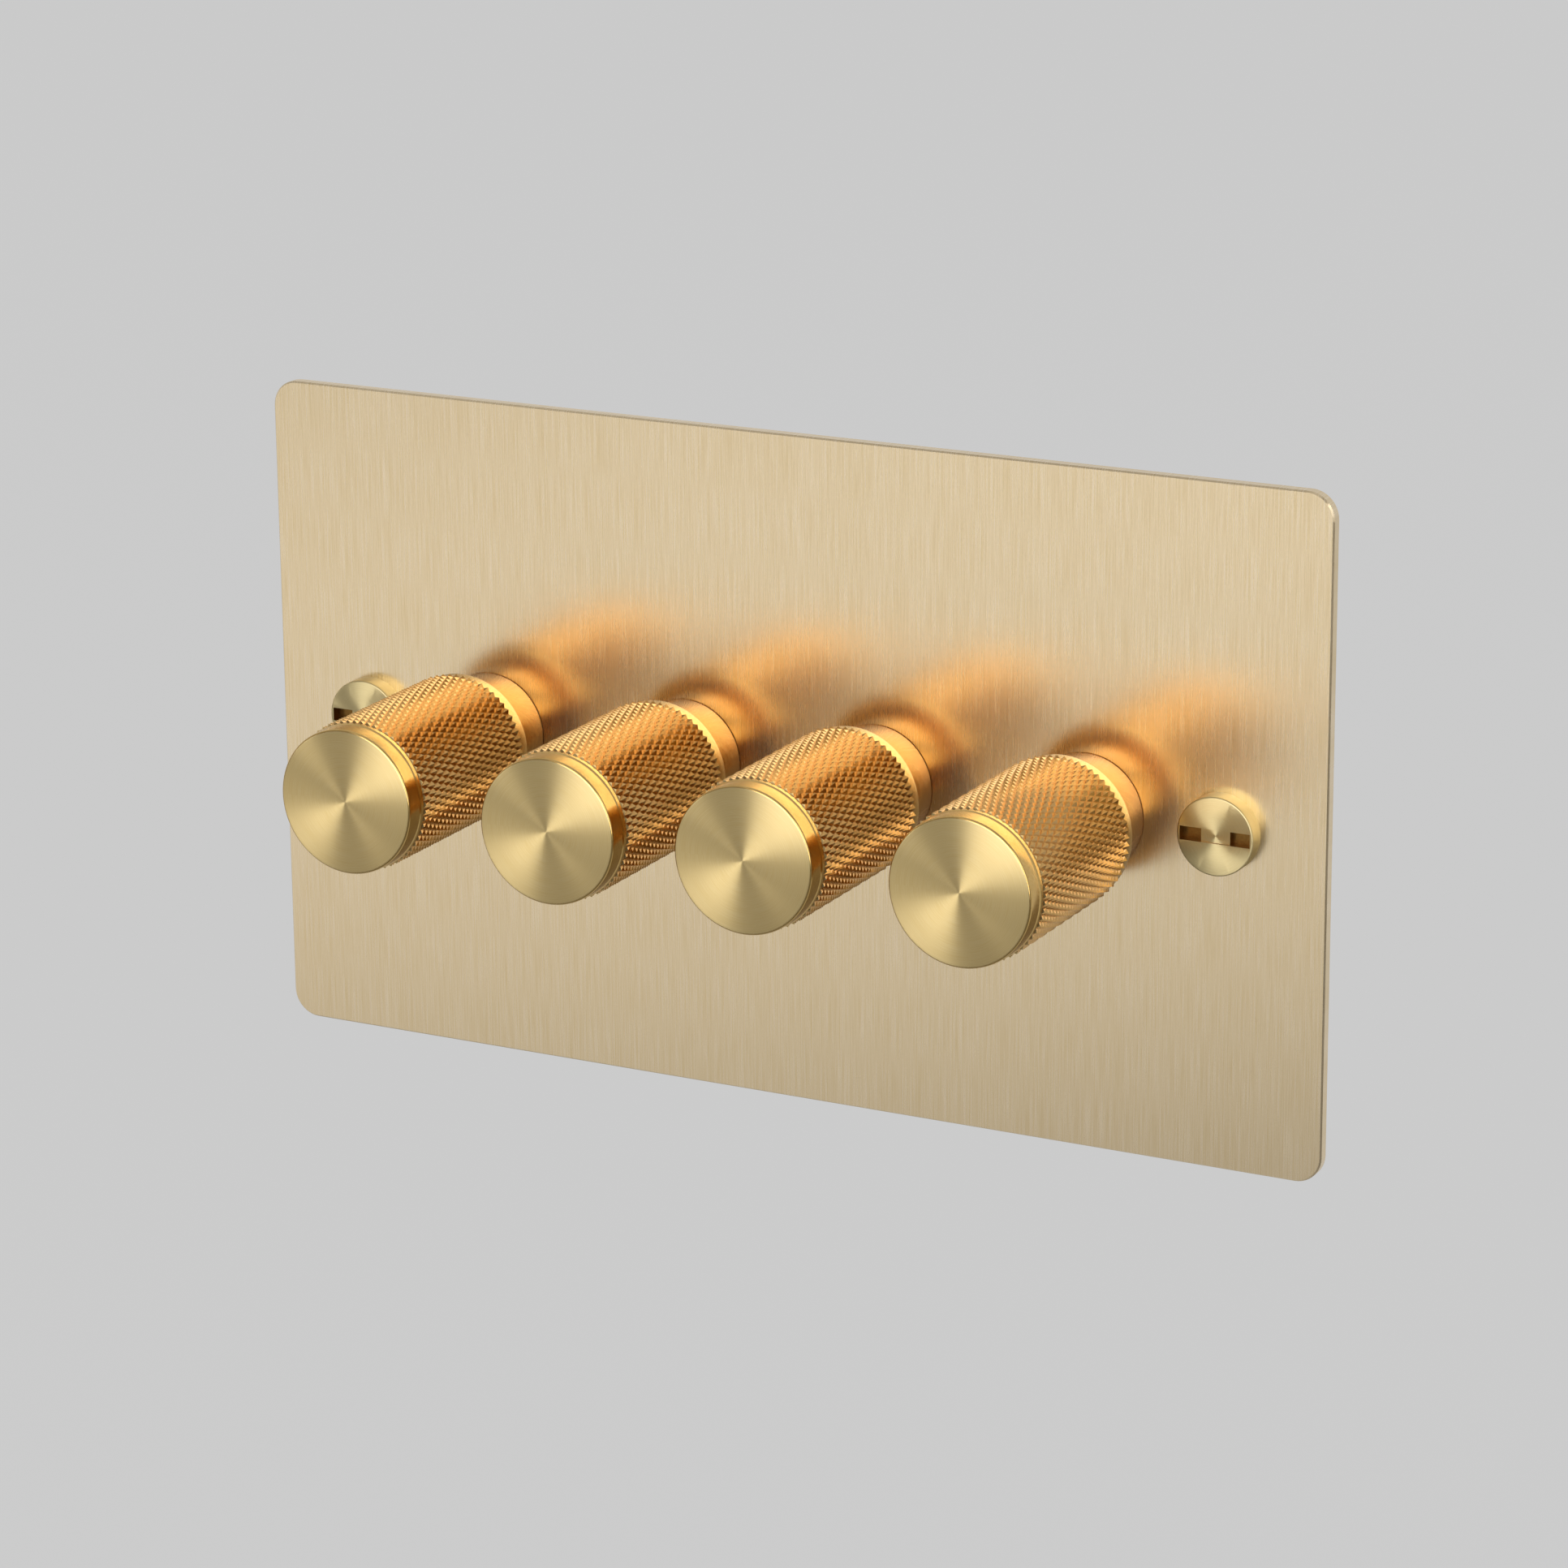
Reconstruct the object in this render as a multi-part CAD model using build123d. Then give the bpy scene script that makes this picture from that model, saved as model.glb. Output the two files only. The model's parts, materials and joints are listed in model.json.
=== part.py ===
from build123d import *
import os

# Four-gang rotary dimmer switch on a double brass plate, millimetres.
# X runs along the plate, +Z is up and +Y points into the wall.
# The origin is the middle of the wall face, on the back of the gasket.

# Plate and gasket
plate_w = 148.0
plate_h = 87.0
plate_t = 1.5
plate_corner_r = 3.5
plate_edge_break = 0.2
gasket_t = 0.5
gasket_inset = 2.0
gasket_bar = 8.0
gasket_side_clear = 1.5

# Fixing screws, one beside each outer module
fixing_side_gap = 5.6
fixing_shank_r = 1.75
fixing_neck_r = 1.45
fixing_length = 25.0
fixing_tip_bevel = 0.5
fixing_head_r = 5.0
fixing_head_h = 2.4
fixing_head_bevel = 0.25
fixing_hole_clear = 0.25
slot_w = 1.75
slot_depth = 1.3
slot_end_rim = 0.4
slot_step = 0.35
slot_bridge_len = 3.8

# Gangs: the modules stand side by side, and each knob is in the middle of its own
inner_module_gap = 2.0
outer_module_gap = 3.7

# Push and turn
push_travel = 0.8
running_clear = 0.04
thrust_clear = 0.05

# Knob, radii from its axis and lengths along it
knob_projection = 36.0
knob_rear_gap = 6.9
land_r = 9.3
land_len = 1.8
knurl_r = 9.7
knurl_depth = 0.62
knurl_teeth = 40
knurl_rows = 13
groove_depth = 0.5
groove_w = 0.25
shoulder_r = 9.3
shoulder_len = 0.3
neck_r = 9.15
neck_len = 2.9
neck_cove = 0.6
face_bevel = 0.35
edge_break = 0.2
push_room_clear = 0.5
spindle_grip = 18.5

# Spindle, bush, washer and round nut, which shows as a collar behind the knob
spindle_r = 3.0
spindle_flat = 1.5
spindle_end_clear = 0.1
spindle_bevel = 0.4
stop_r = 4.2
stop_t = 1.2
stop_clear = 0.1
nose_r = 2.0
nose_len = 2.0
nose_end_clear = 0.3
bush_r = 4.0
bush_past_nut = 0.6
bush_bevel = 0.4
bush_hole_clear = 0.15
flange_r = 6.5
flange_t = 1.5
washer_r = 5.9
washer_t = 0.3
nut_r = 7.7
nut_lap = 1.0
nut_bevel = 0.3
nut_side_clear = 0.2
nut_slot_w = 2.0
nut_slot_depth = 0.8
thread_clear = 0.05

# Module case and rear cover
case_w = 25.0
case_h = 46.0
case_wall = 1.6
case_front_wall = 1.8
case_corner_r = 2.0
case_edge_bevel = 0.6
pad_size = 14.0
pad_h = 0.8
post_size = 4.5
cover_t = 1.8
component_room = 7.0
vent_count = 5
vent_w = 1.6
vent_len = 6.0
vent_pitch = 3.4

# Rotary control, plunger and return spring
control_size = 17.0
control_corner = 2.0
control_wall = 1.2
control_hole_clear = 0.4
plunger_size = 9.0
plunger_corner_r = 1.0
plunger_len = 3.2
plunger_slide_clear = 0.2
spring_boss_r = 2.2
spring_boss_len = 1.5
spring_r = 2.8
spring_wire_r = 0.25
spring_len = 3.8
spring_turns = 3

# Circuit board and choke
board_t = 1.6
board_clear = 0.3
choke_ring_r = 6.0
choke_wire_r = 2.4
choke_z = 9.0
choke_seat_clear = 0.05

# Terminals on the rear cover
terminal_count = 3
terminal_pitch = 6.5
terminal_wall = 1.2
terminal_block_gap = 0.6
clamp_w = 4.8
clamp_h = 6.8
clamp_d = 6.0
clamp_clear = 0.15
clamp_recess = 1.6
wire_hole_r = 1.7
wire_entry_r = 1.9
terminal_screw_r = 1.4
terminal_screw_head_r = 2.2
terminal_screw_head_h = 1.2
terminal_screw_slot_w = 0.8
terminal_screw_slot_depth = 0.6

# Cover screws
cover_screw_r = 1.0
cover_screw_head_r = 1.8
cover_screw_head_h = 1.2
cover_screw_bite = 5.0
cover_screw_clear = 0.15
cover_screw_slot_w = 0.6
cover_screw_slot_depth = 0.5

# Earth terminal on the back of the plate
earth_w = 8.0
earth_h = 7.0
earth_d = 9.0
earth_wire_r = 1.8
earth_screw_r = 1.75
earth_screw_head_r = 2.9
earth_screw_head_h = 1.8
earth_screw_slot_w = 0.9
earth_screw_slot_depth = 0.8
earth_bevel = 0.4

# Stations along Y, from the wall face to the front and then into the wall
wall_face = 0.0
plate_back = wall_face - gasket_t
plate_front = plate_back - plate_t
case_front = plate_back + pad_h
wall_inner = case_front + case_front_wall
flange_rear = wall_inner + flange_t
control_inner = flange_rear + control_wall
stop_front = control_inner + stop_clear
stop_rear = stop_front + stop_t
plunger_front = stop_rear + thrust_clear
plunger_rear = plunger_front + plunger_len
board_front = plunger_rear + spring_len
board_rear = board_front + board_t
cover_inner = board_rear + component_room
cover_rear = cover_inner + cover_t

# Sizes that follow from others
inner_gang_x = (case_w + inner_module_gap) / 2
outer_gang_x = inner_gang_x + case_w + outer_module_gap
fixing_centres = 2 * (outer_gang_x + case_w / 2 + fixing_side_gap)
gang_x = (-outer_gang_x, -inner_gang_x, inner_gang_x, outer_gang_x)
bush_hole_r = bush_r + bush_hole_clear
inner_w = case_w - 2 * case_wall
inner_h = case_h - 2 * case_wall
post_x = inner_w / 2 - post_size / 2
post_z = inner_h / 2 - post_size / 2
cover_screw_places = ((-post_x, post_z), (post_x, -post_z))


def prism(sketch, y_start, y_end):
    return extrude(Plane.XZ.offset(-y_start) * sketch, amount=y_start - y_end)


def turned(outline):
    return revolve(make_face(outline), axis=Axis.Y)


def rod(radius, y_start, y_end):
    return prism(Circle(radius), y_start, y_end)


def slotted_screw(shank_r, shank_end, head_r, head_start, head_h, cut_w, cut_depth):
    # A screw driven in from behind: its head stands on the +Y side of head_start.
    head_end = head_start + head_h
    body = rod(shank_r, shank_end, head_start) + rod(head_r, head_start, head_end)
    return body - prism(Rectangle(2 * head_r, cut_w), head_end - cut_depth, head_end)


def save(shape, name):
    export_step(shape, f"parts/{name}.step")


def save_group(solids, name):
    save(Compound(children=solids), name)


def make_front_plate():
    outline = RectangleRounded(plate_w, plate_h, plate_corner_r)
    plate = prism(outline, plate_front, plate_back)
    plate = chamfer(plate.faces().sort_by(Axis.Y)[0].edges(), plate_edge_break)
    for x in gang_x:
        plate -= Pos(x, 0, 0) * rod(bush_hole_r, plate_front, plate_back)
    for side in (-1, 1):
        hole = rod(fixing_shank_r + fixing_hole_clear, plate_front, plate_back)
        plate -= Pos(side * fixing_centres / 2, 0, 0) * hole
    return plate


gasket_w = plate_w - 2 * gasket_inset
gasket_h = plate_h - 2 * gasket_inset
gasket_opening_w = 2 * outer_gang_x + case_w + 2 * gasket_side_clear
gasket_opening_h = gasket_h - 2 * gasket_bar


def make_gasket():
    outline = RectangleRounded(gasket_w, gasket_h, plate_corner_r)
    outline -= Rectangle(gasket_opening_w, gasket_opening_h)
    for side in (-1, 1):
        outline -= Pos(side * fixing_centres / 2, 0) * Circle(fixing_shank_r + fixing_hole_clear)
    return prism(outline, plate_back, wall_face)


def make_fixing_screw():
    # A plain neck passes through the plate and the gasket, and the thread starts at the wall face.
    head_front = plate_front - fixing_head_h
    tip = plate_front + fixing_length
    outline = Polyline(
        (0, head_front),
        (fixing_head_r - fixing_head_bevel, head_front),
        (fixing_head_r, head_front + fixing_head_bevel),
        (fixing_head_r, plate_front),
        (fixing_neck_r, plate_front),
        (fixing_neck_r, wall_face),
        (fixing_shank_r, wall_face),
        (fixing_shank_r, tip - fixing_tip_bevel),
        (fixing_shank_r - fixing_tip_bevel, tip),
        (0, tip),
        close=True,
    )
    # A bridge stands across the middle of the slot, just below the face of the head.
    slot = Rectangle(2 * (fixing_head_r - slot_end_rim), slot_w)
    bridge = Rectangle(slot_bridge_len, slot_w)
    screw = turned(outline) - prism(slot, head_front, head_front + slot_step)
    return screw - prism(slot - bridge, head_front, head_front + slot_depth)


def d_section(radius, clear):
    # A round section with one flat, as on a potentiometer spindle.
    grown = radius + clear
    flat_z = radius - spindle_flat + clear
    waste = Pos(0, flat_z + grown) * Rectangle(2 * grown, 2 * grown)
    return Circle(grown) - waste


# Stations along the knob, counted forward from the plate's front face
land_rear = plate_front - knob_rear_gap
knurl_rear = land_rear - land_len
knob_face = plate_front - knob_projection
neck_rear = knob_face + neck_len
shoulder_rear = neck_rear + shoulder_len
knurl_front = shoulder_rear + groove_w
nut_rear = plate_front - washer_t
nut_front = land_rear - nut_lap
nut_room = nut_front - push_travel - push_room_clear
bush_tip = nut_front - bush_past_nut
bush_room = bush_tip - push_travel - push_room_clear
bore_end = bush_room - spindle_grip
spindle_tip = bore_end + spindle_end_clear


def knurl_point(column, row):
    # Crests and roots take turns round the knob and along it.
    radius = knurl_r - knurl_depth * ((column + row) % 2)
    along = knurl_front + (knurl_rear - knurl_front) * row / knurl_rows
    return Vector(radius, along, 0).rotate(Axis.Y, 180 * column / knurl_teeth)


def make_knurl():
    # Each cell of the net folds from root to root, so four cells meet in a pyramid at every crest.
    columns = 2 * knurl_teeth
    outlines = []
    for row in range(knurl_rows):
        for column in range(columns):
            near = knurl_point(column, row)
            side = knurl_point(column + 1, row)
            far = knurl_point(column + 1, row + 1)
            back = knurl_point(column, row + 1)
            if (column + row) % 2:
                outlines += [(near, side, far), (near, far, back)]
            else:
                outlines += [(near, side, back), (side, far, back)]
    for row in (0, knurl_rows):
        outlines.append([knurl_point(column, row) for column in range(columns)])
    return Solid(Shell([Face(Wire.make_polygon(outline)) for outline in outlines]))


def make_knob():
    groove_r = neck_r - groove_depth
    outline = [
        Polyline(
            (0, knob_face),
            (neck_r - face_bevel, knob_face),
            (neck_r, knob_face + face_bevel),
            (neck_r, neck_rear - neck_cove),
        ),
        RadiusArc((neck_r, neck_rear - neck_cove), (shoulder_r, neck_rear), neck_cove),
        Polyline(
            (shoulder_r, neck_rear),
            (shoulder_r, shoulder_rear),
            (groove_r, shoulder_rear),
            (groove_r, knurl_rear),
            (land_r, knurl_rear),
            (land_r, land_rear - edge_break),
            (land_r - edge_break, land_rear),
            (0, land_rear),
            (0, knob_face),
        ),
    ]
    knob = turned(outline) + make_knurl()
    knob -= rod(nut_r + nut_side_clear, nut_room, land_rear)
    knob -= rod(bush_r + push_room_clear, bush_room, nut_room)
    return knob - prism(d_section(spindle_r, running_clear), bore_end, bush_room)


def make_spindle():
    outline = Polyline(
        (0, spindle_tip),
        (spindle_r - spindle_bevel, spindle_tip),
        (spindle_r, spindle_tip + spindle_bevel),
        (spindle_r, stop_front),
        (stop_r, stop_front),
        (stop_r, stop_rear),
        (nose_r, stop_rear),
        (nose_r, stop_rear + nose_len),
        (0, stop_rear + nose_len),
        close=True,
    )
    waste = Circle(2 * spindle_r) - d_section(spindle_r, 0)
    waste &= Pos(0, spindle_r) * Rectangle(2 * spindle_r, 2 * spindle_r)
    return turned(outline) - prism(waste, spindle_tip, bush_room)


def make_bush():
    outline = Polyline(
        (spindle_r + running_clear, bush_tip),
        (bush_r - bush_bevel, bush_tip),
        (bush_r, bush_tip + bush_bevel),
        (bush_r, wall_inner),
        (flange_r, wall_inner),
        (flange_r, flange_rear),
        (spindle_r + running_clear, flange_rear),
        close=True,
    )
    return turned(outline)


def make_lock_washer():
    ring = Circle(washer_r) - Circle(bush_r + thread_clear)
    return prism(ring, plate_front - washer_t, plate_front)


def make_lock_nut():
    # A round nut with a slot across its front for a driver, hidden in the rear of the knob.
    bore_r = bush_r + thread_clear
    outline = Polyline(
        (bore_r, nut_front),
        (nut_r - nut_bevel, nut_front),
        (nut_r, nut_front + nut_bevel),
        (nut_r, nut_rear - edge_break),
        (nut_r - edge_break, nut_rear),
        (bore_r, nut_rear),
        close=True,
    )
    slot = Rectangle(2 * nut_r, nut_slot_w)
    return turned(outline) - prism(slot, nut_front, nut_front + nut_slot_depth)


def corner_posts(y_start, y_end):
    spots = GridLocations(2 * post_x, 2 * post_z, 2, 2)
    return [prism(spot * Rectangle(post_size, post_size), y_start, y_end) for spot in spots]


def make_module_case():
    outline = RectangleRounded(case_w, case_h, case_corner_r)
    case = prism(outline, case_front, cover_inner)
    case = chamfer(case.faces().sort_by(Axis.Y)[0].edges(), case_edge_bevel)
    case += prism(Rectangle(pad_size, pad_size), plate_back, case_front)
    case -= prism(Rectangle(inner_w, inner_h), wall_inner, cover_inner)
    case -= rod(bush_hole_r, plate_back, wall_inner)
    for post in corner_posts(wall_inner, board_front):
        case += post
    for x, z in cover_screw_places:
        case -= Pos(x, 0, z) * rod(cover_screw_r + thread_clear, board_front - cover_screw_bite, board_front)
    vent_middle = (board_rear + cover_inner) / 2
    for spot in GridLocations(vent_pitch, case_h - case_wall, vent_count, 2):
        place = Pos(spot.position.X, vent_middle, spot.position.Y)
        case -= place * Box(vent_w, vent_len, 2 * case_wall)
    return case


# The terminal block stands on the rear cover, just above its lower screw
terminal_x = [(i - (terminal_count - 1) / 2) * terminal_pitch for i in range(terminal_count)]
pocket_w = clamp_w + 2 * clamp_clear
pocket_h = clamp_h + 2 * clamp_clear
pocket_floor = cover_rear
block_rear = pocket_floor + clamp_d + clamp_recess
block_w = (terminal_count - 1) * terminal_pitch + pocket_w + 2 * terminal_wall
block_h = pocket_h + 2 * terminal_wall
block_z = -post_z + cover_screw_head_r + terminal_block_gap + block_h / 2
wire_y = pocket_floor + clamp_d / 2


def make_module_cover():
    cover = prism(RectangleRounded(case_w, case_h, case_corner_r), cover_inner, cover_rear)
    for post in corner_posts(board_rear, cover_inner):
        cover += post
    cover += prism(Pos(0, block_z) * Rectangle(block_w, block_h), cover_rear, block_rear)
    for x in terminal_x:
        cover -= prism(Pos(x, block_z) * Rectangle(pocket_w, pocket_h), pocket_floor, block_rear)
        entry = Cylinder(wire_entry_r, terminal_wall, align=(Align.CENTER, Align.CENTER, Align.MIN))
        cover -= Pos(x, wire_y, block_z - block_h / 2) * entry
    for x, z in cover_screw_places:
        cover -= Pos(x, 0, z) * rod(cover_screw_r + cover_screw_clear, board_rear, cover_rear)
    return cover


def make_terminal_clamp():
    clamp = prism(Rectangle(clamp_w, clamp_h), pocket_floor, pocket_floor + clamp_d)
    clamp -= Pos(0, wire_y, 0) * Cylinder(wire_hole_r, clamp_h)
    return clamp - rod(terminal_screw_r + thread_clear, wire_y, pocket_floor + clamp_d)


def make_terminal_screw():
    return slotted_screw(
        terminal_screw_r,
        wire_y + wire_hole_r,
        terminal_screw_head_r,
        pocket_floor + clamp_d,
        terminal_screw_head_h,
        terminal_screw_slot_w,
        terminal_screw_slot_depth,
    )


def make_cover_screw():
    return slotted_screw(
        cover_screw_r,
        board_front - cover_screw_bite,
        cover_screw_head_r,
        cover_rear,
        cover_screw_head_h,
        cover_screw_slot_w,
        cover_screw_slot_depth,
    )


def make_control_body():
    outline = chamfer(Rectangle(control_size, control_size).vertices(), control_corner)
    cavity = RectangleRounded(
        plunger_size + 2 * plunger_slide_clear,
        plunger_size + 2 * plunger_slide_clear,
        plunger_corner_r,
    )
    body = prism(outline, flange_rear, board_front)
    body -= prism(cavity, control_inner, board_front)
    return body - rod(spindle_r + control_hole_clear, flange_rear, control_inner)


def make_plunger():
    body = prism(RectangleRounded(plunger_size, plunger_size, plunger_corner_r), plunger_front, plunger_rear)
    body += rod(spring_boss_r, plunger_rear, plunger_rear + spring_boss_len)
    socket_end = stop_rear + nose_len + nose_end_clear
    return body - rod(nose_r + running_clear, plunger_front, socket_end)


def make_return_spring():
    wire_path = Helix(
        pitch=(spring_len - 2 * spring_wire_r) / spring_turns,
        height=spring_len - 2 * spring_wire_r,
        radius=spring_r,
        center=(0, plunger_rear + spring_wire_r, 0),
        direction=(0, 1, 0),
    )
    section = Plane(origin=wire_path @ 0, z_dir=wire_path % 0) * Circle(spring_wire_r)
    return sweep(section, path=wire_path)


def make_circuit_board():
    outline = Rectangle(inner_w - 2 * board_clear, inner_h - 2 * board_clear)
    board = prism(outline, board_front, board_rear)
    for x, z in cover_screw_places:
        board -= Pos(x, 0, z) * rod(cover_screw_r + cover_screw_clear, board_front, board_rear)
    return board


def make_choke():
    ring_y = board_rear + choke_wire_r + choke_seat_clear
    ring = Torus(choke_ring_r, choke_wire_r)
    return Pos(0, ring_y, choke_z) * Rot(90, 0, 0) * ring


# The earth block stands halfway between the module cases and the gasket's upper bar
earth_z = (case_h / 2 + gasket_opening_h / 2) / 2
earth_rear = plate_back + earth_d
earth_wire_y = plate_back + earth_d / 2


def make_earth_terminal():
    block = prism(Pos(0, earth_z) * Rectangle(earth_w, earth_h), plate_back, earth_rear)
    block = chamfer(block.edges().filter_by(Axis.Y), earth_bevel)
    block -= Pos(0, earth_wire_y, earth_z) * Rot(0, 90, 0) * Cylinder(earth_wire_r, earth_w)
    return block - Pos(0, 0, earth_z) * rod(earth_screw_r + thread_clear, earth_wire_y, earth_rear)


def make_earth_screw():
    screw = slotted_screw(
        earth_screw_r,
        earth_wire_y + earth_wire_r,
        earth_screw_head_r,
        earth_rear,
        earth_screw_head_h,
        earth_screw_slot_w,
        earth_screw_slot_depth,
    )
    return Pos(0, 0, earth_z) * screw


def main():
    os.makedirs("parts", exist_ok=True)
    save(make_front_plate(), "front_plate")
    save(make_gasket(), "gasket")
    save(make_earth_terminal(), "earth_terminal")
    save(make_earth_screw(), "earth_screw")

    fixing_screw = make_fixing_screw()
    save_group([Pos(side * fixing_centres / 2, 0, 0) * fixing_screw for side in (-1, 1)], "fixing_screws")

    gang_pieces = {
        "knob": make_knob(),
        "spindle": make_spindle(),
        "bush": make_bush(),
        "module_case": make_module_case(),
        "module_cover": make_module_cover(),
        "control_body": make_control_body(),
        "switch_plunger": make_plunger(),
        "return_spring": make_return_spring(),
        "circuit_board": make_circuit_board(),
        "choke": make_choke(),
    }
    for name, piece in gang_pieces.items():
        for number, x in enumerate(gang_x, start=1):
            save(Pos(x, 0, 0) * piece, f"{name}_{number}")

    nut = make_lock_nut()
    washer = make_lock_washer()
    save_group([Pos(x, 0, 0) * nut for x in gang_x], "lock_nuts")
    save_group([Pos(x, 0, 0) * washer for x in gang_x], "lock_washers")

    clamp = make_terminal_clamp()
    screw = make_terminal_screw()
    spots = [Pos(x + dx, 0, block_z) for x in gang_x for dx in terminal_x]
    save_group([spot * clamp for spot in spots], "terminal_clamps")
    save_group([spot * screw for spot in spots], "terminal_screws")

    cover_screw = make_cover_screw()
    screws = [Pos(x + dx, 0, dz) * cover_screw for x in gang_x for dx, dz in cover_screw_places]
    save_group(screws, "cover_screws")


main()
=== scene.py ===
import json
import math
import bmesh
import bpy
from mathutils import Matrix, Vector


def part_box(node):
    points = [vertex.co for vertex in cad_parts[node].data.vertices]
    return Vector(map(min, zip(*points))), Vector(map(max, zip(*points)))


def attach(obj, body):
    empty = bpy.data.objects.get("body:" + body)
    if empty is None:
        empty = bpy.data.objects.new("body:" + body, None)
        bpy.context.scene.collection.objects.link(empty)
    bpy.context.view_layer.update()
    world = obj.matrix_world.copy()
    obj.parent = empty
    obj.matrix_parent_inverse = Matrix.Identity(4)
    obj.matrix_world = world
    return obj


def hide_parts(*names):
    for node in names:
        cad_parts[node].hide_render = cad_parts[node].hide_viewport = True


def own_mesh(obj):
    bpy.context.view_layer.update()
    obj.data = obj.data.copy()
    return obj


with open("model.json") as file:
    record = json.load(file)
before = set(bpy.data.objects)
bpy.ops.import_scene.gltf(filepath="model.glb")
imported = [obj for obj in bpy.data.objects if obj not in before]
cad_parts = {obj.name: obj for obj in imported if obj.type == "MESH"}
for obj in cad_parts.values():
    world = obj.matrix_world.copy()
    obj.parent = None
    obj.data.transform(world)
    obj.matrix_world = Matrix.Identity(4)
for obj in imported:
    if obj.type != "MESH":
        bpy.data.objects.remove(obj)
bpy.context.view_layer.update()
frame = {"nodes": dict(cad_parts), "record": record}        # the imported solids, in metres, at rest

mm = 0.001
hair, weld, near = 0.001 * mm, 0.005 * mm, 0.01 * mm   # distances that count as nothing
gangs = range(1, 5)
print("frame loaded with", len(frame["nodes"]), "nodes")


def linear(hexColour):   # sRGB hex to the linear colour that a shader takes
    parts = [int(hexColour[i:i + 2], 16) / 255 for i in (1, 3, 5)]
    return [c / 12.92 if c <= 0.04045 else ((c + 0.055) / 1.055) ** 2.4 for c in parts] + [1.0]


def addNode(tree, kind, settings={}, links={}):   # keys are a node's own settings or its sockets
    node = tree.nodes.new(kind)
    for key, value in settings.items():
        if isinstance(key, int) or key in node.inputs:
            node.inputs[key].default_value = value
        else:
            setattr(node, key, value)
    for key, source in links.items():
        tree.links.new(source, node.inputs[key])
    return node


def newMaterial(name):
    mat = bpy.data.materials.new(name)
    mat.use_nodes = True
    mat.node_tree.nodes.clear()
    return mat, mat.node_tree


def mixColours(tree, first, second, factor):   # goes from the first hex colour to the second
    mix = addNode(
        tree, "ShaderNodeMix", {"data_type": "RGBA", 6: linear(first), 7: linear(second)}, {0: factor})
    return mix.outputs[2]


def smoothRange(tree, start, end, value):   # eases from 0 to 1 between start and end
    span = addNode(
        tree, "ShaderNodeMapRange",
        {"interpolation_type": "SMOOTHSTEP", "From Min": start, "From Max": end}, {"Value": value})
    return span.outputs["Result"]


def sheenRange(tree, sheen, factor):   # roughness between the two ends of a sheen
    span = addNode(tree, "ShaderNodeMapRange", {"To Min": sheen[0], "To Max": sheen[1]}, {"Value": factor})
    return span.outputs["Result"]


def coat(tree, settings, links):   # the surface shader, joined to the material's output
    shader = addNode(tree, "ShaderNodeBsdfPrincipled", settings, links)
    addNode(tree, "ShaderNodeOutputMaterial", {}, {"Surface": shader.outputs["BSDF"]})


# Brushed brass sheet: belt-brushed up the plate, so hairlines smear every reflection sideways
def brushedBrass():
    look = {
        "pale": "#FDEBCC", "deep": "#EAD2A5",
        "hairWidth": 0.17 * mm, "hairLength": 9 * mm,   # real hairs are 0.1 mm, drawn wider to show
        "bandWidth": 1.6 * mm, "bandLength": 90 * mm,
        "bandShare": 0.12, "contrast": (0.3, 0.7), "sheen": (0.22, 0.31), "hairDepth": 0.008 * mm,
    }
    mat, tree = newMaterial("brushed_brass")
    place = addNode(tree, "ShaderNodeTexCoord")
    hairMap = addNode(
        tree, "ShaderNodeMapping", {"Scale": (1 / look["hairWidth"], 0, 1 / look["hairLength"])},
        {"Vector": place.outputs["Object"]})
    hairs = addNode(
        tree, "ShaderNodeTexNoise", {"Scale": 1.0, "Detail": 4.0, "Roughness": 0.62},
        {"Vector": hairMap.outputs["Vector"]})
    bandMap = addNode(
        tree, "ShaderNodeMapping", {"Scale": (1 / look["bandWidth"], 0, 1 / look["bandLength"])},
        {"Vector": place.outputs["Object"]})
    bands = addNode(
        tree, "ShaderNodeTexNoise", {"Scale": 1.0, "Detail": 2.0}, {"Vector": bandMap.outputs["Vector"]})
    grain = addNode(
        tree, "ShaderNodeMix", {"Factor": look["bandShare"]},
        {2: hairs.outputs["Fac"], 3: bands.outputs["Fac"]})
    spread = addNode(
        tree, "ShaderNodeMapRange",
        {"From Min": look["contrast"][0], "From Max": look["contrast"][1]}, {"Value": grain.outputs[0]})
    bump = addNode(
        tree, "ShaderNodeBump", {"Strength": 0.5, "Distance": look["hairDepth"]},
        {"Height": hairs.outputs["Fac"]})
    coat(tree, {"Metallic": 1.0, "Anisotropic": 0.6}, {
        "Base Color": mixColours(tree, look["deep"], look["pale"], spread.outputs["Result"]),
        "Roughness": sheenRange(tree, look["sheen"], hairs.outputs["Fac"]),
        "Normal": bump.outputs["Normal"]})
    return mat


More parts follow.
